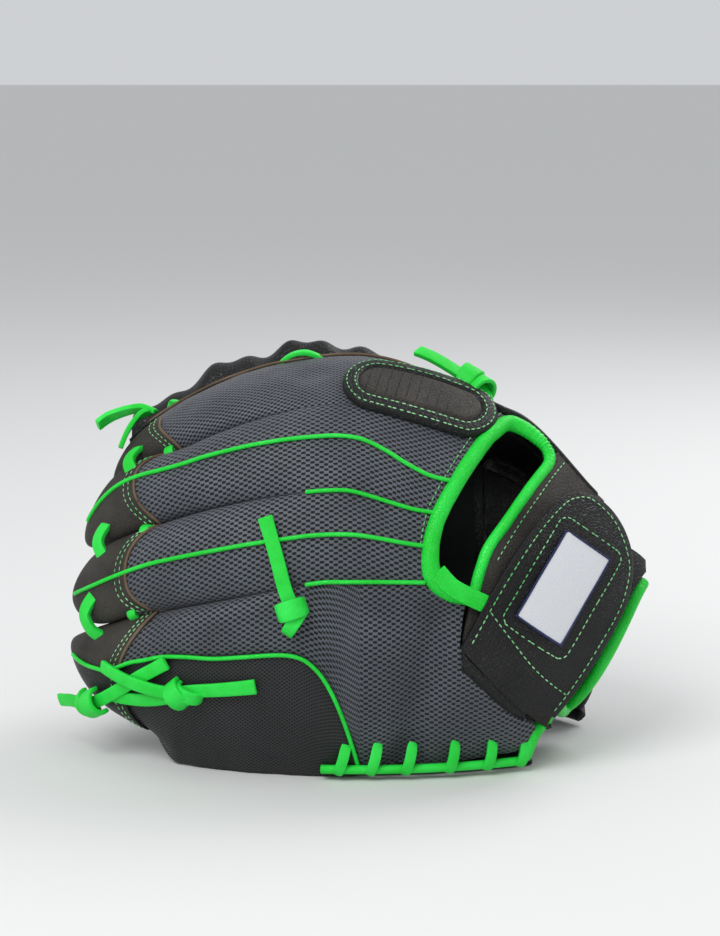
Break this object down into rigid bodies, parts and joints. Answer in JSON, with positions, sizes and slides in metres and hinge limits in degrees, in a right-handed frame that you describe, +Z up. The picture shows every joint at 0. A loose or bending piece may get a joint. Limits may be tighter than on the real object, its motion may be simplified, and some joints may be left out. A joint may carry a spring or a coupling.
{
  "type": "fielding glove",
  "caption": "Left-hand fielding glove, half closed: mesh finger backs, leather tips and palm, laced web and thumb, and a fastened wrist strap.",
  "frame": {"origin": "centre of the bounding box's base, on the ground it stands on", "axes": "+X from the fingertips to the wrist, -Y the back of the glove, +Y the thumb side, +Z up"},
  "size_m": [0.2848, 0.18, 0.1976],
  "materials": {
    "grey_mesh": "open grey mesh over black backing",
    "black_mesh": "fine black mesh",
    "black_leather": "satin grain",
    "charcoal_leather": "matt pored grain",
    "green_lace": "satin rawhide",
    "green_binding": "soft satin",
    "felt_padding": "felt",
    "lining": "soft knit",
    "white_label": "woven",
    "hook_and_loop": "pile"
  },
  "bodies": {
    "hand_side": {"base_strip": "black_leather", "crotch_knot": "green_lace", "hand_back_panel": "grey_mesh", "hand_lining": "lining", "heel_binding": "green_binding", "heel_crease": "black_leather", "heel_palm": "black_leather", "index_back_panel": "grey_mesh", "index_middle_lace": "green_lace", "index_pad_border": "black_leather", "index_pad_insert": "charcoal_leather", "index_tip_cap": "charcoal_leather", "index_tip_knot": "green_lace", "index_welt": "charcoal_leather", "little_finger_heel_pad": "felt_padding", "little_finger_knot_high": "green_lace", "little_finger_knot_low": "green_lace", "little_finger_piping": "green_binding", "little_finger_side_panel": "black_mesh", "loop_patch": "hook_and_loop", "lower_short_piping": "green_binding", "middle_back_panel": "grey_mesh", "middle_piping": "green_binding", "middle_ring_lace": "green_lace", "middle_tip_cap": "charcoal_leather", "opening_binding": "green_binding", "palm_lining": "lining", "palm_pad": "felt_padding", "palm_shell": "black_leather", "pinky_back_panel": "grey_mesh", "pinky_tip_cap": "charcoal_leather", "ring_back_panel": "grey_mesh", "ring_little_finger_lace": "green_lace", "ring_piping": "green_binding", "ring_tip_cap": "charcoal_leather", "seam_lace": "green_lace", "strap_root": "black_leather", "thumb_heel_back": "black_leather", "thumb_heel_base": "felt_padding", "thumb_heel_pad": "felt_padding", "thumb_root_knot": "green_lace", "upper_short_piping": "green_binding", "wrist_band": "charcoal_leather"},
    "thumb_side": {"thumb_back_panel": "black_leather", "thumb_crotch_back": "black_leather", "thumb_crotch_lace": "green_lace", "thumb_crotch_palm": "black_leather", "thumb_edge_wall": "black_leather", "thumb_lining": "lining", "thumb_palm_panel": "black_leather", "thumb_tip_cap": "black_leather", "thumb_web_wall": "black_leather", "web_bar": "black_leather", "web_lace": "green_lace", "web_panel": "black_leather"},
    "wrist_strap": {"wrist_strap": "black_leather", "hook_patch": "hook_and_loop", "label_patch": "white_label"}
  },
  "joints": [
    {"name": "pocket_hinge", "type": "hinge", "parent": "hand_side", "child": "thumb_side", "pos_m": [0.00055, 0.01516, 0.16513], "axis": [1, 0, 0], "range_deg": [-25, 35]},
    {"name": "strap_hinge", "type": "hinge", "parent": "hand_side", "child": "wrist_strap", "pos_m": [0.06955, -0.07908, 0.04358], "axis": [0.6645, 0.2894, -0.689], "range_deg": [0, 120]}
  ]
}
